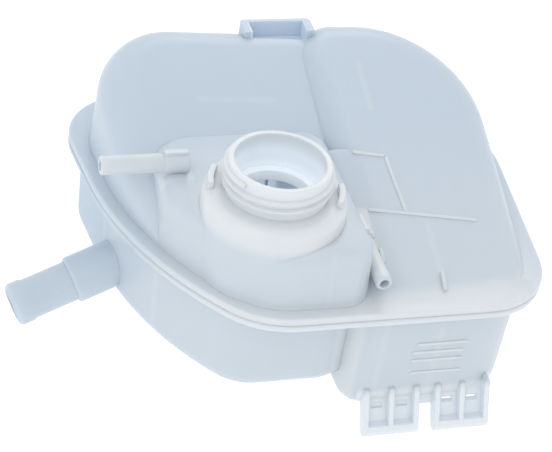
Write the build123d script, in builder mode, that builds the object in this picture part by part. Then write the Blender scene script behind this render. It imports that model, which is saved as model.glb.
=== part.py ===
"""Coolant expansion tank: an upper and a lower moulding, welded together at a flange.

Millimetres. The origin is the centre of the filler rim, +Z runs up the filler neck,
+X along the front edge to the right and +Y to the back.
"""

import os
from math import cos, degrees, radians, sin, sqrt, tan

from build123d import *

# Walls and weld flange
wall = 2.6
overhang = 6.5
flange_thickness = 3.75
weld_z = -60.75
weld_groove = 0.7
flange_edge_radius = 1.2

# Plan of the flange: four straight sides and a long bow at the left
front_y = -44.0
back_y = 138.0
left_x = -71.5
left_y = 85.0
left_lean = 6.0
bow_x = -27.0
bow_y = -28.0
bow_lean = 40.0
right_x = 138.6
right_y = 19.2
right_lean = 5.9
left_corner_radius = 35.0
bow_radius = 172.0
front_left_radius = 42.0
front_right_radius = 36.0
back_right_radius = 68.0

# Upper dome: two sloping roofs, the right one a step higher
right_roof_slope = 18.5
left_roof_slope = 22.0
roof_y = 113.0
right_roof_z = -6.4
roof_step = 3.8
left_roof_tilt = 3.5
right_roof_tilt = 1.8
left_wall_lean = 4.0
right_wall_lean = 13.0
link_back_y = 46.0
link_reach = 12.0
step_x = 36.0
roof_lap = 50.0
roof_edge_radius = 16.0
lap_corner_radius = 32.0
dome_left_radius = 38.0
dome_left_inset = 0.5
dome_right_radius = 56.0
dome_right_inset = 0.5
back_stagger = 1.0

# Neck platform
platform_left = -47.5
platform_right = 43.5
platform_back = 64.0
platform_z = -27.0
platform_back_left_radius = 22.0
platform_back_right_radius = 14.0
platform_front_radius = 16.0
platform_overrun = 0.5
platform_draft = 3.0
platform_crown_radius = 7.0
platform_crown_sweep = 80.0
platform_crown_steps = 4

# Filler neck
neck_outer_radius = 23.8
neck_bore_radius = 21.0
neck_base_z = -16.0
seat_z = -18.0
seat_radius = 17.0
skirt_length = 5.5
shoulder_radius = 33.6
shoulder_edge_radius = 5.0
rim_edge_radius = 0.8

# Filler thread
thread_pitch = 4.2
thread_turns = 2.6
thread_height = 1.7
thread_root_depth = 0.6
thread_foot = 2.6
thread_crest = 1.0
thread_top_z = -2.6

# Cap stops on the shoulder
stop_angles = (146.0, -32.0)
stop_arc = 28.0
stop_radius = 31.4
stop_thickness = 2.8
stop_height = 3.2

# Left vent nipple, over the platform
left_vent_radius = 4.5
left_vent_bore = 2.6
left_vent_y = 33.0
left_vent_z = -23.0
left_vent_tip_x = -74.0
left_vent_root_x = -33.0
left_vent_collar_radius = 5.1
left_vent_collar_edge = 0.3
left_vent_rib_length = 11.5
left_vent_rib_width = 3.2
left_vent_rib_rise = 1.8
left_vent_saddle = 7.0

# Right vent nipple, beside the platform
right_vent_radius = 3.9
right_vent_bore = 2.2
right_vent_x = 46.5
right_vent_z = -46.5
right_vent_tip_y = -35.0
right_vent_root_y = 8.0
right_vent_collar_radius = 5.6
right_vent_collar_length = 11.0
right_vent_rib_length = 12.0
right_vent_rib_width = 2.6
right_vent_rib_rise = 3.4
vent_tip_chamfer = 0.6

# Rear socket
socket_left = 13.5
socket_width = 36.5
socket_side_wall = 4.2
socket_back_wall = 2.4
socket_back_y = 127.2
socket_depth = 12.0
socket_top_z = -6.2
socket_root_z = -34.0
socket_floor_z = -15.0
socket_corner_radius = 2.0

# Lower half: a shallow bay at the left and a deep bay at the right
draft = 1.5
shallow_z = -113.0
shallow_setback = 7.0
shallow_edge_radius = 10.0
shallow_corner_radius = 34.0
deep_z = -124.0
deep_x = 36.0
deep_edge_radius = 9.0
deep_corner_radius = 14.0
deep_right_inset = 3.0
bay_lap = 16.0

# Outlet stub
outlet_root = (-52.0, 53.4, -95.0)
outlet_azimuth = 189.7
outlet_dip = 18.1
outlet_length = 60.0
outlet_radius = 10.0
outlet_bore = 7.2
outlet_bead = 0.7
outlet_bead_length = 9.0
outlet_collar_radius = 11.6
outlet_collar_length = 29.0
outlet_edge = 1.0

# Mounting feet
foot_lefts = (47.5, 83.8)
foot_width = 28.0
foot_heel_z = -133.5
foot_web_rise = 11.5
foot_web_z = foot_heel_z + foot_web_rise
foot_back_y = -29.0
foot_top_z = -110.0
foot_toe_y = -46.0
foot_toe_rise = 3.0
foot_toe_z = foot_heel_z + foot_toe_rise
foot_toe_depth = 4.5
foot_toe_edge = 0.8
foot_front_y = -37.5
foot_front_z = -111.0
foot_rib = 2.6
foot_floor = 2.2
foot_lip = 2.4
slot_width = 5.5
slot_height = 2.4
slot_rise = 12.5
slot_z = foot_heel_z + slot_rise

# Baffles inside, each a straight wall from one plan point to another
baffle = 1.8
upper_baffles = (
    ((-16.0, 79.5), (20.5, 79.5)),
    ((68.0, 70.0), (68.0, 94.0)),
    ((80.0, front_y), (80.0, 4.0)),
    ((20.0, front_y), (20.0, -26.0)),
)
lower_baffles = (
    ((left_x, 62.0), (-20.0, 62.0)),
    ((left_x, 14.0), (-24.0, 14.0)),
    ((52.0, front_y), (52.0, 10.0)),
    ((80.0, front_y), (80.0, 4.0)),
)

# Worked out from the sizes above
least_straight = 0.1
run_out_y = front_y - 2 * roof_edge_radius - 2 * overhang
deep_margin = 60.0


def left_side_x(y):
    """Flange's left side at depth y."""
    return left_x - tan(radians(left_lean)) * (y - left_y)


def bow_side_x(y):
    """Straight behind the bow at depth y."""
    return bow_x - tan(radians(bow_lean)) * (y - bow_y)


def right_side_x(y):
    """Flange's right side at depth y."""
    return right_x + tan(radians(right_lean)) * (y - right_y)


def bow_corner():
    """Where the left side meets the straight behind the bow."""
    left_rate = tan(radians(left_lean))
    bow_rate = tan(radians(bow_lean))
    y = (left_x + left_rate * left_y - bow_x - bow_rate * bow_y) / (left_rate - bow_rate)
    return (left_side_x(y), y)


def fitted_radii(corners, radii):
    """Corner radii, each shortened where two roundings would meet on the side between them."""
    points = [Vector(*corner) for corner in corners]
    count = len(points)
    rates = []
    for index, point in enumerate(points):
        turn = (point - points[index - 1]).get_angle(points[(index + 1) % count] - point)
        rates.append(tan(radians(turn / 2)))
    reaches = [radius * rate for radius, rate in zip(radii, rates)]
    for index, point in enumerate(points):
        following = (index + 1) % count
        side = (points[following] - point).length
        excess = reaches[index] + reaches[following] + least_straight - side
        if excess > 0:
            longer = index if reaches[index] > reaches[following] else following
            reaches[longer] -= excess
    return [reach / rate for reach, rate in zip(reaches, rates)]


def rounded_face(corners, radii, inset, plane):
    """Closed outline with rounded corners, moved in by inset, as a face on plane."""
    with BuildSketch(plane) as sketch:
        with BuildLine():
            FilletPolyline(*corners, radius=fitted_radii(corners, radii), close=True)
        make_face()
        if inset > 0:
            offset(amount=-inset, mode=Mode.REPLACE)
    return sketch.sketch


def flange_face(inset, plane):
    """Plan of the tank, moved in by inset."""
    corners = [
        (left_side_x(back_y), back_y),
        bow_corner(),
        (bow_side_x(front_y), front_y),
        (right_side_x(front_y), front_y),
        (right_side_x(back_y), back_y),
    ]
    radii = [
        left_corner_radius,
        bow_radius,
        front_left_radius,
        front_right_radius,
        back_right_radius,
    ]
    return rounded_face(corners, radii, inset, plane)


def roof_prism(corners, radii, inset, roof, lean):
    """Prism under the sloping roof plane, leaning to the left by lean, with its roof edges rounded."""
    rate = tan(radians(lean))
    floor = Plane(origin=(rate * deep_margin, 0, weld_z - deep_margin))
    rise = 2 * deep_margin - weld_z
    with BuildPart() as prism:
        add(rounded_face(corners, radii, overhang + inset, floor))
        extrude(amount=rise / cos(radians(lean)), dir=(-rate, 0, 1))
        split(bisect_by=roof.offset(-inset), keep=Keep.BOTTOM)
        top = prism.faces().filter_by(GeomType.PLANE).sort_by(Axis.Z)[-1]
        fillet(top.edges(), radius=roof_edge_radius - inset)
        split(bisect_by=Plane.XZ.offset(-(front_y + overhang + inset)), keep=Keep.BOTTOM)
        split(bisect_by=Plane.XY.offset(weld_z), keep=Keep.TOP)
    return prism.part


def left_roof(inset):
    """Dome of the lower, left roof."""
    lap_x = step_x + roof_lap
    corners = [
        (left_side_x(back_y) + dome_left_inset, back_y - back_stagger),
        bow_corner(),
        (bow_side_x(run_out_y), run_out_y),
        (lap_x + overhang, run_out_y),
        (lap_x + overhang, back_y - back_stagger),
    ]
    radii = [
        dome_left_radius + overhang,
        bow_radius,
        lap_corner_radius,
        lap_corner_radius,
        lap_corner_radius,
    ]
    slope = (tan(radians(left_roof_tilt)), -tan(radians(left_roof_slope)), 1)
    roof = Plane(origin=(step_x, roof_y, right_roof_z - roof_step), z_dir=slope)
    return roof_prism(corners, radii, inset, roof, -left_wall_lean)


def right_roof(inset):
    """Dome of the higher, right roof."""
    step_foot_x = step_x + tan(radians(right_wall_lean)) * (platform_z - weld_z)
    corners = [
        (step_foot_x - overhang, back_y),
        (step_foot_x - overhang, run_out_y),
        (right_side_x(run_out_y) - dome_right_inset, run_out_y),
        (right_side_x(back_y) - dome_right_inset, back_y),
    ]
    radii = [
        lap_corner_radius,
        lap_corner_radius,
        lap_corner_radius,
        dome_right_radius + overhang,
    ]
    slope = (tan(radians(right_roof_tilt)), -tan(radians(right_roof_slope)), 1)
    roof = Plane(origin=(step_x, roof_y, right_roof_z), z_dir=slope)
    return roof_prism(corners, radii, inset, roof, right_wall_lean)


def front_link(inset):
    """Front of the right roof, carried on under the platform."""
    with BuildPart() as link:
        add(right_roof(inset).moved(Location((-link_reach, 0, 0))))
        split(bisect_by=Plane.XZ.offset(inset - link_back_y), keep=Keep.TOP)
    return link.part


def platform(inset):
    """Neck platform, cut to the plan of the tank at its front and left."""
    floor = Plane.XY.offset(weld_z)
    front = front_y + overhang - platform_overrun
    corners = [
        (platform_left, platform_back),
        (platform_left, front),
        (platform_right, front),
        (platform_right, platform_back),
    ]
    radii = [
        platform_back_left_radius,
        platform_front_radius,
        platform_front_radius,
        platform_back_right_radius,
    ]
    with BuildPart() as block:
        with BuildSketch(floor):
            add(flange_face(overhang + inset, Plane.XY))
            add(rounded_face(corners, radii, inset, Plane.XY), mode=Mode.INTERSECT)
        extrude(amount=platform_z - platform_crown_radius - inset - weld_z, taper=platform_draft)
        for index in range(platform_crown_steps):
            low = radians(platform_crown_sweep * index / platform_crown_steps)
            high = radians(platform_crown_sweep * (index + 1) / platform_crown_steps)
            rise = platform_crown_radius * (sin(high) - sin(low))
            extrude(block.faces().sort_by(Axis.Z)[-1], amount=rise, taper=degrees((low + high) / 2))
    return block.part


def bay(corners, radii, inset, bottom_z, edge_radius):
    """Drafted bay below the weld plane, with its bottom edges rounded."""
    with BuildPart() as block:
        add(rounded_face(corners, radii, overhang + inset, Plane.XY.offset(weld_z)))
        extrude(amount=bottom_z + inset - weld_z, taper=draft)
        bottom = block.faces().sort_by(Axis.Z)[0]
        fillet(bottom.edges(), radius=edge_radius - inset)
    return block.part


def shallow_bay(inset):
    """Left bay, its front set back from the deep one."""
    lap_x = deep_x + bay_lap + overhang
    bay_front = front_y + shallow_setback
    bay_back = back_y - back_stagger
    corners = [
        (left_side_x(bay_back), bay_back),
        bow_corner(),
        (bow_side_x(bay_front), bay_front),
        (lap_x, bay_front),
        (lap_x, bay_back),
    ]
    radii = [
        left_corner_radius,
        bow_radius,
        shallow_corner_radius,
        left_corner_radius,
        left_corner_radius,
    ]
    return bay(corners, radii, inset, shallow_z, shallow_edge_radius)


def deep_bay(inset):
    """Right bay, down to the feet."""
    corners = [
        (deep_x - overhang, back_y),
        (deep_x - overhang, front_y),
        (right_side_x(front_y) - deep_right_inset, front_y),
        (right_side_x(back_y) - deep_right_inset, back_y),
    ]
    corner_radius = deep_corner_radius + overhang
    radii = [corner_radius, corner_radius, front_right_radius, back_right_radius]
    return bay(corners, radii, inset, deep_z, deep_edge_radius)


def baffle_walls(lines, outer, height):
    """Upright walls along the plan lines, trimmed to the outer solid."""
    with BuildPart() as walls:
        for start, end in lines:
            middle = ((start[0] + end[0]) / 2, (start[1] + end[1]) / 2)
            reach = (abs(end[0] - start[0]) + baffle, abs(end[1] - start[1]) + baffle)
            with BuildSketch(Plane.XY.offset(weld_z)):
                with Locations(middle):
                    Rectangle(*reach)
            extrude(amount=height)
        add(outer, mode=Mode.INTERSECT)
    return walls.part


def flange_plate(thickness):
    """One weld flange, with a groove at the weld and a soft outer edge."""
    with BuildPart() as plate:
        add(flange_face(0, Plane.XY.offset(weld_z)))
        extrude(amount=thickness)
        levels = plate.faces().filter_by(Axis.Z).sort_by(Axis.Z)
        weld_face = levels[0] if thickness > 0 else levels[-1]
        far_face = levels[-1] if thickness > 0 else levels[0]
        fillet(far_face.edges(), radius=flange_edge_radius)
        chamfer(weld_face.edges(), length=weld_groove)
    return plate.part


def revolved(points, plane, axis):
    """Closed profile on plane, turned about axis."""
    with BuildPart() as turned:
        with BuildSketch(plane):
            with BuildLine():
                Polyline(*points, close=True)
            make_face()
        revolve(axis=axis)
    return turned.part


def neck():
    """Filler neck and the round shoulder that carries it."""
    profile = [
        (0, weld_z),
        (shoulder_radius, weld_z),
        (shoulder_radius, neck_base_z),
        (neck_outer_radius, neck_base_z),
        (neck_outer_radius, 0),
        (0, 0),
    ]
    with BuildPart() as body:
        add(revolved(profile, Plane.XZ, Axis.Z))
        circles = body.edges().filter_by(GeomType.CIRCLE)
        shoulder_edge = circles.filter_by_position(Axis.Z, neck_base_z, neck_base_z).sort_by(SortBy.RADIUS)[-1]
        rim_edge = circles.filter_by_position(Axis.Z, 0, 0)
        fillet(shoulder_edge, radius=shoulder_edge_radius)
        fillet(rim_edge, radius=rim_edge_radius)
    return body.part


def neck_bore():
    """Bore of the neck, the seat skirt and the hollow of the shoulder."""
    hollow_radius = shoulder_radius - wall
    profile = [
        (0, wall),
        (neck_bore_radius, wall),
        (neck_bore_radius, seat_z),
        (seat_radius, seat_z),
        (seat_radius, seat_z - skirt_length),
        (seat_radius + wall, seat_z - skirt_length),
        (seat_radius + wall, seat_z - wall),
        (hollow_radius, seat_z - wall),
        (hollow_radius, platform_z - 2 * wall),
        (0, platform_z - 2 * wall),
    ]
    return revolved(profile, Plane.XZ, Axis.Z)


def neck_thread():
    """Coarse thread round the neck."""
    root = neck_outer_radius - thread_root_depth
    height = thread_pitch * thread_turns
    with BuildPart() as thread:
        with BuildLine() as path:
            Helix(thread_pitch, height, root, center=(0, 0, thread_top_z - height))
        start = path.line @ 0
        with BuildSketch(Plane(origin=start, x_dir=(1, 0, 0), z_dir=path.line % 0)):
            with BuildLine():
                Polyline(
                    (0, -thread_foot / 2),
                    (thread_root_depth + thread_height, -thread_crest / 2),
                    (thread_root_depth + thread_height, thread_crest / 2),
                    (0, thread_foot / 2),
                    close=True,
                )
            make_face()
        sweep(path=path.line, is_frenet=True)
    return thread.part


def cap_stop(start_angle):
    """Low curved wall on the shoulder that stops the cap."""
    turn = radians(start_angle)
    plane = Plane(origin=(0, 0, 0), x_dir=(cos(turn), sin(turn), 0), z_dir=(sin(turn), -cos(turn), 0))
    height = stop_height + shoulder_edge_radius
    with BuildPart() as stop:
        with BuildSketch(plane):
            with Locations((stop_radius - stop_thickness / 2, neck_base_z + stop_height - height / 2)):
                Rectangle(stop_thickness, height)
        revolve(axis=Axis.Z, revolution_arc=stop_arc)
    return stop.part


def pipe(plane, radius, length, tip_chamfer):
    """Round bar from plane, with its far edge broken."""
    with BuildPart() as bar:
        with BuildSketch(plane):
            Circle(radius)
        extrude(amount=length)
        tip = bar.faces().sort_by(Axis(plane.origin, plane.z_dir))[-1]
        chamfer(tip.edges(), length=tip_chamfer)
    return bar.part


def block(low, high):
    """Box between two corners."""
    size = [b - a for a, b in zip(low, high)]
    middle = [(a + b) / 2 for a, b in zip(low, high)]
    with BuildPart() as box:
        with Locations(tuple(middle)):
            Box(*size)
    return box.part


def left_vent():
    """Nipple that lies on the platform and reaches out to the left."""
    root = Plane(origin=(left_vent_root_x, left_vent_y, left_vent_z), z_dir=(-1, 0, 0))
    half_rib = left_vent_rib_width / 2
    half_saddle = left_vent_saddle / 2
    rib_end = left_vent_root_x - left_vent_rib_length
    rib_top = left_vent_z + left_vent_radius + left_vent_rib_rise
    with BuildPart() as vent:
        add(pipe(root, left_vent_radius, left_vent_root_x - left_vent_tip_x, vent_tip_chamfer))
        add(pipe(root, left_vent_collar_radius, left_vent_rib_length, left_vent_collar_edge))
        add(
            block(
                (rib_end, left_vent_y - half_rib, left_vent_z),
                (left_vent_root_x, left_vent_y + half_rib, rib_top),
            )
        )
        add(
            block(
                (rib_end, left_vent_y - half_saddle, platform_z - platform_crown_radius / 2),
                (left_vent_root_x, left_vent_y + half_saddle, left_vent_z),
            )
        )
    return vent.part


def left_vent_bores():
    """Bore of the left nipple and the drop into the tank at its root."""
    tip = Plane(origin=(left_vent_tip_x - wall, left_vent_y, left_vent_z), z_dir=(1, 0, 0))
    drop_x = left_vent_root_x - wall - left_vent_bore
    with BuildPart() as bores:
        with BuildSketch(tip):
            Circle(left_vent_bore)
        extrude(amount=drop_x - left_vent_tip_x + wall)
        with BuildSketch(Plane.XY.offset(left_vent_z)):
            with Locations((drop_x, left_vent_y)):
                Circle(left_vent_bore)
        extrude(amount=platform_z - 2 * wall - left_vent_z)
    return bores.part


def right_vent():
    """Nipple that leaves the right roof beside the platform, towards the front."""
    root = Plane(origin=(right_vent_x, right_vent_root_y, right_vent_z), z_dir=(0, -1, 0))
    half_rib = right_vent_rib_width / 2
    rib_top = right_vent_z + right_vent_radius + right_vent_rib_rise
    with BuildPart() as vent:
        add(pipe(root, right_vent_radius, right_vent_root_y - right_vent_tip_y, vent_tip_chamfer))
        add(pipe(root, right_vent_collar_radius, right_vent_collar_length, vent_tip_chamfer))
        add(
            block(
                (right_vent_x - half_rib, right_vent_root_y - right_vent_rib_length, right_vent_z),
                (right_vent_x + half_rib, right_vent_root_y, rib_top),
            )
        )
    return vent.part


def right_vent_bore_hole():
    """Bore of the right nipple, through the roof."""
    tip = Plane(origin=(right_vent_x, right_vent_tip_y - wall, right_vent_z), z_dir=(0, 1, 0))
    with BuildPart() as hole:
        with BuildSketch(tip):
            Circle(right_vent_bore)
        extrude(amount=right_vent_root_y - right_vent_tip_y + 2 * wall)
    return hole.part


def rear_socket():
    """Block on the back of the roof, before its pocket is cut."""
    right = socket_left + socket_width
    front = socket_back_y - socket_depth
    with BuildPart() as socket:
        add(block((socket_left, front, socket_root_z), (right, socket_back_y, socket_top_z)))
        back_edges = socket.edges().filter_by(Axis.Z).group_by(Axis.Y)[-1]
        fillet(back_edges, radius=socket_corner_radius)
    return socket.part


def socket_pan(outer):
    """Floor and front wall under the pocket, trimmed to the outer solid."""
    right = socket_left + socket_width
    front = socket_back_y - socket_depth - wall
    with BuildPart() as pan:
        add(block((socket_left, front, socket_floor_z - wall), (right, socket_back_y, wall)))
        add(outer, mode=Mode.INTERSECT)
    return pan.part


def socket_pocket():
    """Pocket of the rear socket, open at the top."""
    left = socket_left + socket_side_wall
    right = socket_left + socket_width - socket_side_wall
    front = socket_back_y - socket_depth
    return block((left, front, socket_floor_z), (right, socket_back_y - socket_back_wall, wall))


def outlet_direction():
    """Way out along the outlet stub."""
    level = cos(radians(outlet_dip))
    turn = radians(outlet_azimuth)
    return Vector(level * cos(turn), level * sin(turn), -sin(radians(outlet_dip)))


def outlet_turned(points):
    """Profile of distance and radius along the outlet stub, turned about it."""
    along = outlet_direction()
    side = along.cross(Vector(0, 0, 1))
    plane = Plane(origin=outlet_root, x_dir=along, z_dir=side)
    return revolved(points, plane, Axis(outlet_root, along))


def outlet_stub():
    """Hose stub with a collar at the tank and a bead near its tip."""
    bead_radius = outlet_radius + outlet_bead
    bead_start = outlet_length - outlet_bead_length
    return outlet_turned(
        [
            (0, 0),
            (0, outlet_collar_radius),
            (outlet_collar_length - outlet_edge, outlet_collar_radius),
            (outlet_collar_length, outlet_collar_radius - outlet_edge),
            (outlet_collar_length, outlet_radius),
            (bead_start, outlet_radius),
            (bead_start + 2 * outlet_bead, bead_radius),
            (outlet_length - 2 * outlet_edge, bead_radius),
            (outlet_length, outlet_radius - outlet_edge),
            (outlet_length, 0),
        ]
    )


def outlet_bore_hole():
    """Bore of the outlet stub, through the wall."""
    return outlet_turned(
        [
            (0, 0),
            (0, outlet_bore),
            (outlet_length + wall, outlet_bore),
            (outlet_length + wall, 0),
        ]
    )


def foot_section(left, width, points):
    """Side-view polygon of a foot, as thick as width."""
    with BuildPart() as slab:
        with BuildSketch(Plane.YZ.offset(left)):
            with BuildLine():
                Polyline(*points, close=True)
            make_face()
        extrude(amount=width)
    return slab.part


def foot(left):
    """Sloping foot with three ribs, two bays and a slot at the top of each bay."""
    heel_y = foot_toe_y + foot_toe_depth
    run = heel_y - foot_back_y
    drop = foot_heel_z - foot_top_z
    length = sqrt(run * run + drop * drop)
    across_y = foot_floor * drop / length
    across_z = -foot_floor * run / length
    lip_z = foot_toe_z + foot_lip
    floor_rate = run / drop
    lip_floor_y = foot_back_y + across_y + (lip_z - foot_top_z - across_z) * floor_rate
    outline = [
        (foot_back_y, foot_top_z),
        (foot_front_y, foot_front_z),
        (foot_toe_y, foot_toe_z),
        (foot_toe_y + foot_toe_edge, foot_heel_z),
        (heel_y, foot_heel_z),
    ]
    hollow = [
        (foot_back_y + across_y, foot_top_z + across_z),
        (foot_toe_y - wall, foot_top_z + across_z),
        (foot_toe_y - wall, lip_z),
        (lip_floor_y, lip_z),
    ]
    bay_width = (foot_width - 3 * foot_rib) / 2
    bays = [left + foot_rib + index * (bay_width + foot_rib) for index in range(2)]
    with BuildPart() as piece:
        add(foot_section(left, foot_width, outline))
        for bay_left in bays:
            add(foot_section(bay_left, bay_width, hollow), mode=Mode.SUBTRACT)
            with Locations((bay_left + bay_width / 2, foot_back_y, slot_z)):
                Box(slot_width, 4 * foot_width, slot_height, mode=Mode.SUBTRACT)
    return piece.part


def foot_web():
    """Strip along the back of the feet that joins them."""
    heel_y = foot_toe_y + foot_toe_depth
    floor_rate = (heel_y - foot_back_y) / (foot_heel_z - foot_top_z)
    web_y = foot_back_y + (foot_web_z - foot_top_z) * floor_rate
    outline = [
        (foot_back_y, foot_top_z),
        (foot_back_y - foot_floor, foot_top_z),
        (web_y - foot_floor, foot_web_z),
        (web_y, foot_web_z),
    ]
    first = foot_lefts[0] + foot_rib
    last = foot_lefts[-1] + foot_rib
    return foot_section(first, last - first, outline)


def upper_outer():
    """Outside of the upper half, as one solid."""
    shells = [left_roof(0), right_roof(0), front_link(0), platform(0)]
    fittings = [flange_plate(flange_thickness), neck(), left_vent(), right_vent(), rear_socket()]
    with BuildPart() as outer:
        for piece in shells + fittings:
            add(piece)
    return outer.part


def lower_outer():
    """Outside of the lower half, as one solid."""
    shells = [shallow_bay(0), deep_bay(0), flange_plate(-flange_thickness)]
    fittings = [outlet_stub(), foot_web()] + [foot(left) for left in foot_lefts]
    with BuildPart() as outer:
        for piece in shells + fittings:
            add(piece)
    return outer.part


os.makedirs("parts", exist_ok=True)

upper_skin = upper_outer()
upper_hollows = [left_roof(wall), right_roof(wall), front_link(wall), platform(wall), neck_bore()]
upper_bores = [left_vent_bores(), right_vent_bore_hole()]
upper_ribs = [baffle_walls(upper_baffles, upper_skin, -weld_z), neck_thread(), socket_pan(upper_skin)]
cap_stops = [cap_stop(angle) for angle in stop_angles]

with BuildPart() as upper_half:
    add(upper_skin)
    for hollow in upper_hollows + upper_bores:
        add(hollow, mode=Mode.SUBTRACT)
    for rib in upper_ribs + cap_stops:
        add(rib)
    add(socket_pocket(), mode=Mode.SUBTRACT)
upper_half.part.label = "upper_half"
export_step(upper_half.part, "parts/upper_half.step")

lower_skin = lower_outer()
lower_hollows = [shallow_bay(wall), deep_bay(wall), outlet_bore_hole()]
lower_ribs = baffle_walls(lower_baffles, lower_skin, deep_z - weld_z)

with BuildPart() as lower_half:
    add(lower_skin)
    for hollow in lower_hollows:
        add(hollow, mode=Mode.SUBTRACT)
    add(lower_ribs)
lower_half.part.label = "lower_half"
export_step(lower_half.part, "parts/lower_half.step")
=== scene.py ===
"""Dresses a moulded coolant expansion tank: milky plastic, raised marks and a pale studio."""

import math

import bpy
from bpy.props import FloatProperty, FloatVectorProperty, PointerProperty
from mathutils import Matrix, Vector


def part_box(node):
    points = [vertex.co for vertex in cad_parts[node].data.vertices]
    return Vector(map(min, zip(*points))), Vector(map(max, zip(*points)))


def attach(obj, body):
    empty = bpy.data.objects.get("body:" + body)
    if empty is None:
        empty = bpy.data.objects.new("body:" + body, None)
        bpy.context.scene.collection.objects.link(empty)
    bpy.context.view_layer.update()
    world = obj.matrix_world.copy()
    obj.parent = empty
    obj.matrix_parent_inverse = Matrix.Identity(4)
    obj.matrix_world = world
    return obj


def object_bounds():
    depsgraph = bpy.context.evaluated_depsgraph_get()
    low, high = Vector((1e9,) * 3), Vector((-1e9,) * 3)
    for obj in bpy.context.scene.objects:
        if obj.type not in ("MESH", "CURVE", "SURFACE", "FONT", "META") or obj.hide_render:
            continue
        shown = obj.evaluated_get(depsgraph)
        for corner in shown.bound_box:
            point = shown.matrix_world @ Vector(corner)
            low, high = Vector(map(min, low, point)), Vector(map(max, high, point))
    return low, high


bl_info = {
    "name": "Coolant expansion tank",
    "version": (1, 0, 0),
    "blender": (4, 5, 0),
    "location": "View3D > Sidebar > Tank",
    "description": "Finishes the tank's mouldings, adds their raised marks and lights them",
    "category": "Object",
}

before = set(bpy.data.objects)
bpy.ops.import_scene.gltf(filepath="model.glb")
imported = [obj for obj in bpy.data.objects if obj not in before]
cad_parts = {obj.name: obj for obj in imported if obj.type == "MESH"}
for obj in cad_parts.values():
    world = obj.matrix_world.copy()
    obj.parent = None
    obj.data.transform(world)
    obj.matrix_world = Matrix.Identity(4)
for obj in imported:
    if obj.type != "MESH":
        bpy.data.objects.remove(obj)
CAD_LOW, CAD_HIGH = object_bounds()

MM = 0.001
PHOTO_WIDTH = 552
SENSOR_WIDTH = 36.0
MARK_MATERIAL = "raised_mark"
WELD_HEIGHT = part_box("upper_half")[0].z
BLACK = (0.0, 0.0, 0.0)
WHITE = (1.0, 1.0, 1.0)

# Flat stretch of the right roof: a point on it, its rise towards the back and its fall to the right
ROOF_POINT = Vector((36.0, 113.0, -6.4)) * MM
ROOF_SLOPE = math.radians(18.5)
ROOF_TILT = math.radians(1.8)

# Front wall of the deep bay: its height and place at the weld, and its draft
WALL_TOP = Vector((0.0, -37.5, -60.75)) * MM
WALL_DRAFT = math.radians(1.5)

# Raised lines and gussets on the right roof: their two ends, in millimetres of plan
ROOF_LINES = (
    ((52.2, 12.4), (106.0, 5.0)),
    ((52.2, 44.1), (68.8, 41.4)),
    ((68.4, 41.8), (71.1, 10.2)),
)
ROOF_GUSSETS = (
    ((80.2, -21.8), (79.2, -31.9)),
    ((52.8, -8.6), (52.4, -16.6)),
)

# Raised bars on the deep bay's front wall: middle and height, in millimetres
WALL_BARS = (
    (82.0, -84.0),
    (80.5, -89.2),
    (81.0, -94.4),
    (82.0, -102.4),
)

# Rounding of a raised bar: shares of its width and height, and the steps in each round
END_ROUND = 0.45
END_SEGMENTS = 4
TOP_ROUND = 0.4
TOP_SEGMENTS = 2
# Least cosine to the wall's normal of a bar's upright edge, and slack below its top, as a share
UPRIGHT = 0.9
TOP_SLACK = 0.01
BAR_SMOOTH_ANGLE = math.radians(40)

# Facets of the mouldings: distance within which points merge, and the least angle of a sharp edge
MERGE_DISTANCE = 1e-6
SPLIT_ANGLE = math.radians(32)

# Inner baffles that show through, in millimetres: the axis they lie across, their place on it,
# and where they begin and end along the wall
UPPER_BAFFLES = (
    ("Y", 79.5, -16.0, 20.5),
    ("X", 68.0, 70.0, 94.0),
    ("X", 80.0, -44.0, 4.0),
    ("X", 20.0, -44.0, -26.0),
)
LOWER_BAFFLES = (
    ("Y", 62.0, -90.0, -20.0),
    ("Y", 14.0, -90.0, -24.0),
    ("X", 52.0, -44.0, 10.0),
    ("X", 80.0, -44.0, 4.0),
)

# Boxes of painted shade, painted glow and paler tone, in millimetres: low, high and softness along
# each axis, where "R" is the distance from the neck's axis
POCKET = {"X": (17.0, 46.0, 0.6), "Y": (115.0, 124.4, 0.6), "Z": (-20.0, -1.5, 1.0)}
OUTLET_SIDE = {"X": (-80.0, -58.0, 16.0), "Y": (72.0, 140.0, 34.0)}
NECK_INSIDE = {"R": (0.0, 20.8, 0.8), "Z": (-60.0, -10.0, 9.0)}
SHALLOW_INSIDE = {"X": (-45.0, 38.0, 2.0), "Y": (45.0, 126.6, 1.4), "Z": (-111.0, -50.0, 1.5)}
DEEP_INSIDE = {"X": (42.0, 82.0, 2.0), "Y": (45.0, 126.8, 1.4), "Z": (-122.0, -50.0, 1.5)}
LEFT_VENT = {"X": (-95.0, -32.0, 2.0), "Y": (25.0, 41.0, 2.0), "Z": (-33.0, -13.0, 2.0)}
RIGHT_VENT = {"X": (41.0, 51.0, 2.0), "Y": (-32.0, 12.0, 3.0), "Z": (-52.0, -38.0, 2.0)}
DEEP_EDGE = {"X": (33.0, 41.0, 3.0), "Y": (-50.0, -24.0, 4.0), "Z": (-130.0, -62.0, 4.0)}
FEET = {"X": (46.0, 114.0, 2.0), "Y": (-60.0, -27.0, 3.0), "Z": (-140.0, -115.0, 5.0)}

# Boxes of painted blue shade, of painted glow for light that comes through the walls, and of the
# thick plastic's paler colour, which the vents have and which on the feet is painted light: with
# shares
UPPER_PAINTED_SHADE = ((POCKET, 0.25),)
LOWER_PAINTED_SHADE = ((OUTLET_SIDE, 0.75),)
UPPER_LIT = ((NECK_INSIDE, 0.68), (POCKET, 0.32))
LOWER_LIT = ((SHALLOW_INSIDE, 0.9), (DEEP_INSIDE, 0.9), (FEET, 0.15))
UPPER_PALE = ((LEFT_VENT, 0.5), (RIGHT_VENT, 0.9))
# The feet are made paler with painted light, offsetting the shade in their bays; the deep bay's edge
# is made paler too
LOWER_PALE = ((FEET, 0.8), (DEEP_EDGE, 0.5))

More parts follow.
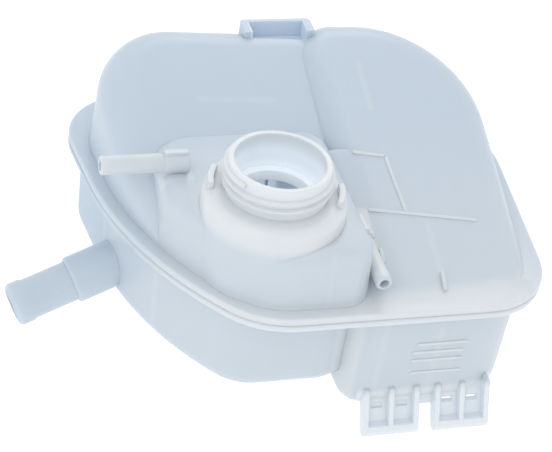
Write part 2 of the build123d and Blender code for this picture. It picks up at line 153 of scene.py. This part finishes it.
# Stretches over which a tone grows from none to full, in millimetres
NECK_RADII = (40, 32)
NECK_HEIGHTS = (-33, -24)
PLATFORM_RADII = (78, 40)
PLATFORM_HEIGHTS = (-66, -36)
FLANGE_REACH = (6.5, 4.0)
# Painted light: over this stretch the walls go from the shaded far colour to the lit front colour
PAINTED_FRONT_LIGHT = (90, -45)
# Painted light on the flange's front, which ends towards its right end
RIM_FRONT_LIGHT = (30, -40)
RIM_RIGHT_END = (145, 105)
BAFFLE_LINE = (2.6, 0.4)
BAFFLE_END = 4

# Noises: scale and detail
CLOUD = (13.0, 3.0)
FLOW = (60.0, 2.0)
GRAIN = (1500.0, 2.0)
FLOOR_CLOUD = (3.0, 2.0)
NOISE_MEAN = 0.5

# Shares of the thick plastic's colour, and of the noises in the colours, the gloss and the skin
# The flange's front takes far more of the pale colour than the rest of the flange: painted light
# where the light falls on it
RIM_FRONT_LIGHT_SHARE = 0.7
RIM_SHARE = 0.05
PLATFORM_SHARE = 0.12
BAFFLE_SHARE = 0.2
CLOUD_IN_WALLS = 0.5
FLOW_IN_COLOUR = 0.06
FLOW_IN_GLOSS = 0.12
CLOUD_IN_GLOSS = 0.1
GRAIN_IN_SKIN = 0.5
MARK_SHARE = 0.35
FLOW_IN_MARKS = 0.3

# Skin and body of the plastic
SKIN_STRENGTH = 0.08
SKIN_DEPTH = 0.3 * MM
EDGE_SAMPLES = 4
PLASTIC_IOR = 1.49
SCATTER_BY_COLOUR = (0.85, 1.0, 1.2)

# Floor: brightness of its darker patches, and its roughness
FLOOR_DIM = 0.985
FLOOR_ROUGHNESS = 0.8

# Square lights: place and side, in metres
KEY_PLACE = (-0.75, -0.75, 0.95)
KEY_SIZE = 0.9
RIM_PLACE = (0.35, 0.85, 0.75)
RIM_SIZE = 0.6


class TankPlasticSettings(bpy.types.PropertyGroup):
    """Colours and gloss of the tank's plastic, with its painted light, painted shade and painted
    glow.
    """

    # The walls are paler towards the front and darker and bluer towards the back: painted light from
    # the front and painted shade behind
    wall: FloatVectorProperty(
        name="Wall",
        description="Colour of the thin walls near the front",
        subtype="COLOR",
        min=0.0,
        max=1.0,
        default=(0.54, 0.605, 0.67),
    )
    shaded_far_wall: FloatVectorProperty(
        name="Far wall",
        description="Colour of the thin walls towards the back",
        subtype="COLOR",
        min=0.0,
        max=1.0,
        default=(0.50, 0.58, 0.67),
    )
    # Also used as painted light on the feet and along the flange's front
    thick_and_lit: FloatVectorProperty(
        name="Thick plastic",
        description="Colour where the plastic is thick, as at the neck and the flange",
        subtype="COLOR",
        min=0.0,
        max=1.0,
        default=(0.675, 0.71, 0.74),
    )
    blue: FloatVectorProperty(
        name="Blue",
        description="Colour of the walls that the light hardly reaches",
        subtype="COLOR",
        min=0.0,
        max=1.0,
        default=(0.38, 0.48, 0.60),
    )
    # Painted glow: the plastic emits this colour in the lit boxes, standing in for light that comes
    # through the walls
    lit: FloatVectorProperty(
        name="Lit",
        description="Light that comes through the walls to the inside",
        subtype="COLOR",
        min=0.0,
        max=1.0,
        default=(0.34, 0.38, 0.42),
    )
    roughness: FloatProperty(
        name="Roughness",
        description="Mean roughness of the moulded skin",
        subtype="FACTOR",
        min=0.0,
        max=1.0,
        default=0.32,
    )
    glow: FloatProperty(
        name="Glow",
        description="Share of the light that scatters inside the wall",
        subtype="FACTOR",
        min=0.0,
        max=1.0,
        default=0.35,
    )
    scatter: FloatProperty(
        name="Scatter",
        description="How far light spreads inside the wall",
        unit="LENGTH",
        min=0.0,
        max=0.05,
        default=0.006,
    )
    edge_round: FloatProperty(
        name="Edge round",
        description="Radius that the moulded edges are softened to",
        unit="LENGTH",
        min=0.0,
        max=0.005,
        default=0.0008,
    )


class TankMarkSettings(bpy.types.PropertyGroup):
    """Sizes of the raised lines, gussets and bars."""

    line_width: FloatProperty(
        name="Line width",
        description="Width of a raised line on the roof",
        unit="LENGTH",
        min=0.0002,
        default=0.0018,
    )
    line_height: FloatProperty(
        name="Line height",
        description="Height of a raised line above the roof",
        unit="LENGTH",
        min=0.0001,
        default=0.0003,
    )
    gusset_width: FloatProperty(
        name="Gusset width",
        description="Width of a small gusset on the roof",
        unit="LENGTH",
        min=0.0002,
        default=0.002,
    )
    gusset_height: FloatProperty(
        name="Gusset height",
        description="Height of a small gusset above the roof",
        unit="LENGTH",
        min=0.0001,
        default=0.0014,
    )
    bar_length: FloatProperty(
        name="Bar length",
        description="Length of a raised bar on the front wall",
        unit="LENGTH",
        min=0.001,
        default=0.026,
    )
    bar_width: FloatProperty(
        name="Bar width",
        description="Width of a raised bar on the front wall",
        unit="LENGTH",
        min=0.0002,
        default=0.0016,
    )
    bar_height: FloatProperty(
        name="Bar height",
        description="Height of a raised bar above the front wall",
        unit="LENGTH",
        min=0.0001,
        default=0.0004,
    )
    root: FloatProperty(
        name="Root",
        description="Depth that each mark is set into the wall",
        unit="LENGTH",
        min=0.0,
        default=0.0005,
    )


class TankStudioSettings(bpy.types.PropertyGroup):
    """Camera, floor and lights."""

    camera_place: FloatVectorProperty(
        name="Camera place",
        description="Where the camera stands",
        subtype="TRANSLATION",
        unit="LENGTH",
        default=(-0.23663, -0.62426, 0.47013),
    )
    camera_azimuth: FloatProperty(
        name="Azimuth",
        description="Turn of the camera about the upright axis",
        subtype="ANGLE",
        default=math.radians(-21.0),
    )
    camera_elevation: FloatProperty(
        name="Elevation",
        description="Angle of the camera above the floor",
        subtype="ANGLE",
        default=math.radians(37.2),
    )
    camera_roll: FloatProperty(
        name="Roll",
        description="Lean of the camera, which tips the tank to the right",
        subtype="ANGLE",
        default=math.radians(9.85),
    )
    focal_pixels: FloatProperty(
        name="Focal length",
        description="Focal length in pixels of a photograph of the set width",
        subtype="PIXEL",
        min=1.0,
        default=1830.0,
    )
    floor_colour: FloatVectorProperty(
        name="Floor colour",
        description="Grey of the floor, to which its own white glow is added",
        subtype="COLOR",
        min=0.0,
        max=1.0,
        default=(0.22, 0.22, 0.22),
    )
    floor_size: FloatProperty(
        name="Floor size",
        description="Length of the floor's side",
        unit="LENGTH",
        min=0.1,
        default=9.0,
    )
    floor_glow: FloatProperty(
        name="Floor glow",
        description="Light that the floor gives by itself",
        min=0.0,
        default=0.9,
    )
    sky_strength: FloatProperty(
        name="Sky strength",
        description="Brightness of the light from all round",
        min=0.0,
        default=0.97,
    )
    key_power: FloatProperty(
        name="Key power",
        description="Power of the large light at the front left",
        unit="POWER",
        min=0.0,
        default=2.5,
    )
    rim_power: FloatProperty(
        name="Rim power",
        description="Power of the light behind the tank",
        unit="POWER",
        min=0.0,
        default=1.5,
    )


class Wire:
    """A shader socket that takes part in Python sums: each step adds a node."""

    def __init__(self, finish, socket):
        self.finish = finish
        self.socket = socket

    def maths(self, operation, *values):
        """The result of one Math node on these values."""
        settings = {"operation": operation}
        return self.finish.node("ShaderNodeMath", settings, dict(enumerate(values)))

    def __add__(self, other):
        return self.maths("ADD", self, other)

    __radd__ = __add__

    def __sub__(self, other):
        return self.maths("SUBTRACT", self, other)

    def __mul__(self, other):
        return self.maths("MULTIPLY", self, other)

    def __abs__(self):
        return self.maths("ABSOLUTE", self)

    def __or__(self, other):
        """The larger of the two."""
        return self.maths("MAXIMUM", self, other)

    def root(self):
        """The square root."""
        return self.maths("SQRT", self)

    def grow(self, stretch):
        """0 at the stretch's start, 1 at its end, smooth between them; its ends in millimetres."""
        start, end = stretch
        settings = {"interpolation_type": "SMOOTHSTEP"}
        values = {"Value": self, "From Min": start * MM, "From Max": end * MM}
        return self.finish.node("ShaderNodeMapRange", settings, values)

    def within(self, low, high, soft):
        """Mask from low to high that fades out over soft at both ends, all in millimetres."""
        return self.grow((low - soft, low)) * self.grow((high + soft, high))


class Finish:
    """A node material that is being made."""

    def __init__(self, name):
        self.material = bpy.data.materials.new(name)
        self.material.use_nodes = True
        self.tree = self.material.node_tree
        self.tree.nodes.clear()
        self.place = self.node("ShaderNodeTexCoord", {}, {}, "Object")

    def node(self, kind, settings, values, output=0):
        """Adds a node, makes its settings, then sets or links its sockets, and gives one output."""
        made = self.tree.nodes.new(kind)
        for name, setting in settings.items():
            setattr(made, name, setting)
        for key, value in values.items():
            if isinstance(value, Wire):
                self.tree.links.new(value.socket, made.inputs[key])
            else:
                made.inputs[key].default_value = value
        return Wire(self, made.outputs[output]) if made.outputs else None

    def mix(self, share, first, second):
        """The colour that lies share of the way from first to second."""
        return self.node("ShaderNodeMix", {"data_type": "RGBA"}, {0: share, 6: first, 7: second}, 2)

    def axis(self, letter):
        """One coordinate of the place, in metres."""
        return self.node("ShaderNodeSeparateXYZ", {}, {"Vector": self.place}, letter)

    def noise(self, scale, detail):
        """Noise about NOISE_MEAN at that scale."""
        values = {"Vector": self.place, "Scale": scale, "Detail": detail}
        return self.node("ShaderNodeTexNoise", {}, values)

    def shade(self, settings, values):
        """Ends the material in a Principled shader."""
        shader = self.node("ShaderNodeBsdfPrincipled", settings, values)
        self.node("ShaderNodeOutputMaterial", {}, {"Surface": shader})
        return self.material


def opaque(colour):
    """The colour with full alpha."""
    return (*colour, 1.0)


def baffle_lines(axes, lines):
    """Mask of the pale lines that inner baffles leave on a wall."""
    mask = 0.0
    for across, place, low, high in lines:
        along = axes["Y" if across == "X" else "X"]
        line = abs(axes[across] - place * MM).grow(BAFFLE_LINE)
        mask = line * along.within(low, high, BAFFLE_END) | mask
    return mask


def box_masks(axes, boxes):
    """Mask of tone boxes, each with its share."""
    mask = 0.0
    for box, share in boxes:
        inside = share
        for letter, (low, high, soft) in box.items():
            inside = axes[letter].within(low, high, soft) * inside
        mask = inside | mask
    return mask


def plastic(name, settings, lines, shade_boxes, lit_boxes, pale_boxes):
    """Milky moulded plastic: whiter where it is thick, with painted light on the front walls and the
    flange's front, and painted shade, painted glow and a paler tone in boxes.
    """
    finish = Finish(name)
    axes = {letter: finish.axis(letter) for letter in "XYZ"}
    x, y, z = axes.values()
    from_neck = (x * x + y * y).root()
    axes["R"] = from_neck
    neck = from_neck.grow(NECK_RADII) * z.grow(NECK_HEIGHTS)
    platform = from_neck.grow(PLATFORM_RADII) * z.grow(PLATFORM_HEIGHTS)
    flange = abs(z - WELD_HEIGHT).grow(FLANGE_REACH)
    rim_front_light = y.grow(RIM_FRONT_LIGHT) * x.grow(RIM_RIGHT_END)
    cloud, flow, grain = (finish.noise(*noise) - NOISE_MEAN for noise in (CLOUD, FLOW, GRAIN))
    baffles = baffle_lines(axes, lines)
    blue, lit, pale = (box_masks(axes, boxes) for boxes in (shade_boxes, lit_boxes, pale_boxes))

    # Painted light: walls paler towards the front and shaded towards the back, with random clouds
    front = y.grow(PAINTED_FRONT_LIGHT) + cloud * CLOUD_IN_WALLS
    walls = finish.mix(front, opaque(settings.shaded_far_wall), opaque(settings.wall))
    # Painted blue shade in the pocket and on the outlet's side
    shaded = finish.mix(blue, walls, opaque(settings.blue))
    # The flange is pale as thick plastic all round, and paler along its front with painted light
    rim = flange * (rim_front_light * RIM_FRONT_LIGHT_SHARE + RIM_SHARE)
    # Pale tone of thick plastic at the neck, flange, platform, baffles and vents, with painted light
    # on the flange's front and the feet, and paler at the deep bay's edge
    thick_and_lit = neck | rim | platform * PLATFORM_SHARE | baffles * BAFFLE_SHARE | pale
    softened = finish.node(
        "ShaderNodeBevel", {"samples": EDGE_SAMPLES}, {"Radius": settings.edge_round}
    )
    skin = finish.node(
        "ShaderNodeBump",
        {},
        {
            "Strength": SKIN_STRENGTH,
            "Distance": SKIN_DEPTH,
            "Height": grain * GRAIN_IN_SKIN + flow,
            "Normal": softened,
        },
    )
    return finish.shade(
        {"subsurface_method": "RANDOM_WALK"},
        {
            "Base Color": finish.mix(thick_and_lit + flow * FLOW_IN_COLOUR, shaded, opaque(settings.thick_and_lit)),
            "Roughness": settings.roughness + flow * FLOW_IN_GLOSS + cloud * CLOUD_IN_GLOSS,
            "IOR": PLASTIC_IOR,
            "Normal": skin,
            "Subsurface Weight": settings.glow,
            "Subsurface Radius": SCATTER_BY_COLOUR,
            "Subsurface Scale": settings.scatter,
            # Painted glow in the neck, the pocket, the bays' insides and the feet
            "Emission Color": finish.mix(lit, opaque(BLACK), opaque(settings.lit)),
            "Emission Strength": 1.0,
        },
    )


def mark_plastic(settings):
    """Plain pale plastic of the small raised marks."""
    finish = Finish(MARK_MATERIAL)
    share = finish.noise(*FLOW) * FLOW_IN_MARKS + MARK_SHARE
    pale = finish.mix(share, opaque(settings.wall), opaque(settings.thick_and_lit))
    values = {"Base Color": pale, "Roughness": settings.roughness, "IOR": PLASTIC_IOR}
    return finish.shade({}, values)


def floor_paint(colour, glow):
    """Matt grey floor that lights itself to white, with a trace of unevenness."""
    finish = Finish("studio_floor")
    dim = [channel * FLOOR_DIM for channel in colour]
    return finish.shade(
        {},
        {
            "Base Color": finish.mix(finish.noise(*FLOOR_CLOUD), opaque(dim), opaque(colour)),
            "Roughness": FLOOR_ROUGHNESS,
            "Emission Color": opaque(WHITE),
            "Emission Strength": glow,
        },
    )


def deselect_all():
    """Leaves nothing selected."""
    bpy.ops.object.select_all(action="DESELECT")


def bevel_edges(piece, wanted, offset, segments):
    """Rounds the edges of the piece that wanted picks by their two ends."""
    points = piece.data.vertices
    bpy.ops.object.mode_set(mode="EDIT")
    bpy.ops.mesh.select_mode(type="EDGE")
    bpy.ops.mesh.select_all(action="DESELECT")
    bpy.ops.object.mode_set(mode="OBJECT")
    for edge in piece.data.edges:
        edge.select = wanted(points[edge.vertices[0]].co, points[edge.vertices[1]].co)
    bpy.ops.object.mode_set(mode="EDIT")
    bpy.ops.mesh.bevel(offset=offset, segments=segments, affect="EDGES")
    bpy.ops.object.mode_set(mode="OBJECT")


def raised_bar(start, end, outward, width, height, root):
    """A bar from start to end on a wall that faces outward, with round ends and upper edges."""
    along = (end - start).normalized()
    turn = Matrix((along, outward.cross(along), outward)).transposed()
    middle = (start + end) / 2 + outward * (height - root) / 2
    top = (middle + outward * (height + root) / 2).dot(outward) - TOP_SLACK * height

    def upright(first, second):
        return abs((second - first).normalized().dot(outward)) > UPRIGHT

    def on_top(first, second):
        return min(first.dot(outward), second.dot(outward)) > top

    deselect_all()
    bpy.ops.mesh.primitive_cube_add(size=1.0, location=middle, rotation=turn.to_euler())
    bar = bpy.context.object
    bar.scale = ((end - start).length, width, height + root)
    bpy.ops.object.transform_apply(location=True, rotation=True, scale=True)
    bevel_edges(bar, upright, END_ROUND * width, END_SEGMENTS)
    bevel_edges(bar, on_top, TOP_ROUND * height, TOP_SEGMENTS)
    bpy.ops.object.shade_smooth_by_angle(angle=BAR_SMOOTH_ANGLE)
    return bar


def roof_place(plan):
    """Point of the right roof above a plan point in millimetres."""
    x, y = plan[0] * MM, plan[1] * MM
    rise = math.tan(ROOF_SLOPE) * (y - ROOF_POINT.y) - math.tan(ROOF_TILT) * (x - ROOF_POINT.x)
    return Vector((x, y, ROOF_POINT.z + rise))


def joined(name, pieces):
    """Joins the pieces to one object of the marks' plastic, which rides on the tank."""
    deselect_all()
    for piece in pieces:
        piece.select_set(True)
    bpy.context.view_layer.objects.active = pieces[0]
    bpy.ops.object.join()
    whole = bpy.context.object
    whole.name = name
    whole.data.name = name
    whole.data.materials.clear()
    whole.data.materials.append(bpy.data.materials[MARK_MATERIAL])
    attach(whole, "root")


def roof_bars(name, lines, width, height, root):
    """Raised bars along lines of the right roof, as one object."""
    outward = Vector((math.tan(ROOF_TILT), -math.tan(ROOF_SLOPE), 1.0)).normalized()
    bars = []
    for start, end in lines:
        bars.append(raised_bar(roof_place(start), roof_place(end), outward, width, height, root))
    joined(name, bars)


class TANK_OT_mouldings(bpy.types.Operator):
    """Gives both halves of the tank their plastic, and makes the marks' plastic"""

    bl_idname = "tank.mouldings"
    bl_label = "Finish the mouldings"

    def execute(self, context):
        settings = context.scene.tank_plastic
        # Nothing uses the marks' plastic until the marks are added, so it is kept by a fake user
        marks = mark_plastic(settings)
        marks.use_fake_user = True
        for name, *tones in (
            ("upper_half", UPPER_BAFFLES, UPPER_PAINTED_SHADE, UPPER_LIT, UPPER_PALE),
            ("lower_half", LOWER_BAFFLES, LOWER_PAINTED_SHADE, LOWER_LIT, LOWER_PALE),
        ):
            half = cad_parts[name]
            half.data.materials.clear()
            half.data.materials.append(plastic(name, settings, *tones))
            for face in half.data.polygons:
                face.use_smooth = True
            half.modifiers.new("merged_facets", "WELD").merge_threshold = MERGE_DISTANCE
            half.modifiers.new("moulded_edges", "EDGE_SPLIT").split_angle = SPLIT_ANGLE
        return {"FINISHED"}


class TANK_OT_roof_lines(bpy.types.Operator):
    """Adds the level line and its frame on the right roof"""

    bl_idname = "tank.roof_lines"
    bl_label = "Add the level line"

    def execute(self, context):
        marks = context.scene.tank_marks
        roof_bars("level_lines", ROOF_LINES, marks.line_width, marks.line_height, marks.root)
        return {"FINISHED"}


class TANK_OT_roof_gussets(bpy.types.Operator):
    """Adds the small gussets on the right roof"""

    bl_idname = "tank.roof_gussets"
    bl_label = "Add the roof gussets"

    def execute(self, context):
        marks = context.scene.tank_marks
        roof_bars("roof_gussets", ROOF_GUSSETS, marks.gusset_width, marks.gusset_height, marks.root)
        return {"FINISHED"}


class TANK_OT_wall_bars(bpy.types.Operator):
    """Adds the raised bars on the deep bay's front wall"""

    bl_idname = "tank.wall_bars"
    bl_label = "Add the wall bars"

    def execute(self, context):
        marks = context.scene.tank_marks
        outward = Vector((0.0, -math.cos(WALL_DRAFT), -math.sin(WALL_DRAFT)))
        half = Vector((marks.bar_length / 2, 0.0, 0.0))
        sizes = (marks.bar_width, marks.bar_height, marks.root)
        pattern = raised_bar(WALL_TOP - half, WALL_TOP + half, outward, *sizes)
        bars = []
        for middle, height in WALL_BARS:
            deselect_all()
            pattern.select_set(True)
            context.view_layer.objects.active = pattern
            bpy.ops.object.duplicate(linked=False)
            drop = WALL_TOP.z - height * MM
            move = (middle * MM, math.tan(WALL_DRAFT) * drop, -drop)
            bpy.ops.transform.translate(value=move)
            bpy.ops.object.transform_apply(location=True, rotation=False, scale=False)
            bars.append(context.object)
        bpy.data.objects.remove(pattern)
        joined("wall_bars", bars)
        return {"FINISHED"}


class TANK_OT_studio(bpy.types.Operator):
    """Adds the floor, the lights and the camera"""

    bl_idname = "tank.studio"
    bl_label = "Set the studio"

    def execute(self, context):
        scene = context.scene
        studio = scene.tank_studio
        deselect_all()
        bpy.ops.mesh.primitive_plane_add(size=studio.floor_size, location=(0.0, 0.0, CAD_LOW.z))
        floor = context.object
        floor.name = "studio_floor"
        floor.data.materials.append(floor_paint(studio.floor_colour, studio.floor_glow))

        scene.world = bpy.data.worlds.new("studio_sky")
        scene.world.use_nodes = True
        sky = scene.world.node_tree.nodes["Background"]
        sky.inputs["Color"].default_value = opaque(WHITE)
        sky.inputs["Strength"].default_value = studio.sky_strength

        self.area_light("key_light", KEY_PLACE, KEY_SIZE, studio.key_power)
        self.area_light("rim_light", RIM_PLACE, RIM_SIZE, studio.rim_power)
        scene.view_settings.view_transform = "Standard"
        self.photo_camera(scene, studio)
        return {"FINISHED"}

    def area_light(self, name, place, size, power):
        """A square soft light at the place, aimed at the tank."""
        centre = (CAD_LOW + CAD_HIGH) / 2
        aim = (centre - Vector(place)).to_track_quat("-Z", "Y").to_euler()
        bpy.ops.object.light_add(type="AREA", location=place, rotation=aim)
        light = bpy.context.object
        light.name = name
        light.data.size = size
        light.data.energy = power

    def photo_camera(self, scene, studio):
        """The camera at the photograph's place and lean."""
        turn, rise, roll = studio.camera_azimuth, studio.camera_elevation, studio.camera_roll
        reach = math.cos(rise)
        back = Vector((math.sin(turn) * reach, -math.cos(turn) * reach, math.sin(rise)))
        level = Vector((math.cos(turn), math.sin(turn), 0.0))
        upright = back.cross(level)
        right = level * math.cos(roll) + upright * math.sin(roll)
        up = upright * math.cos(roll) - level * math.sin(roll)
        aim = Matrix((right, up, back)).transposed().to_euler()
        bpy.ops.object.camera_add(location=studio.camera_place, rotation=aim)
        camera = bpy.context.object
        camera.name = "photo_camera"
        camera.data.sensor_width = SENSOR_WIDTH
        camera.data.lens = studio.focal_pixels / PHOTO_WIDTH * SENSOR_WIDTH
        scene.camera = camera


class TANK_PT_steps(bpy.types.Panel):
    """Lists the tank's settings and steps"""

    bl_label = "Expansion tank"
    bl_idname = "TANK_PT_steps"
    bl_space_type = "VIEW_3D"
    bl_region_type = "UI"
    bl_category = "Tank"

    def draw(self, context):
        scene = context.scene
        for settings in (scene.tank_plastic, scene.tank_marks, scene.tank_studio):
            box = self.layout.box()
            for name in settings.__annotations__:
                box.prop(settings, name)
        for step in STEPS:
            self.layout.operator(step.bl_idname)


STEPS = (
    TANK_OT_mouldings,
    TANK_OT_roof_lines,
    TANK_OT_roof_gussets,
    TANK_OT_wall_bars,
    TANK_OT_studio,
)
CLASSES = (TankPlasticSettings, TankMarkSettings, TankStudioSettings, *STEPS, TANK_PT_steps)


def register():
    """Registers the classes and hangs their settings on the scene."""
    for item in CLASSES:
        bpy.utils.register_class(item)
    bpy.types.Scene.tank_plastic = PointerProperty(type=TankPlasticSettings)
    bpy.types.Scene.tank_marks = PointerProperty(type=TankMarkSettings)
    bpy.types.Scene.tank_studio = PointerProperty(type=TankStudioSettings)


def unregister():
    """Removes the settings and the classes."""
    del bpy.types.Scene.tank_studio
    del bpy.types.Scene.tank_marks
    del bpy.types.Scene.tank_plastic
    for item in reversed(CLASSES):
        bpy.utils.unregister_class(item)


def main():
    """Dresses the tank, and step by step."""
    register()
    bpy.ops.tank.mouldings()
    bpy.ops.tank.roof_lines()
    bpy.ops.tank.roof_gussets()
    bpy.ops.tank.wall_bars()
    bpy.ops.tank.studio()


if __name__ == "__main__":
    main()
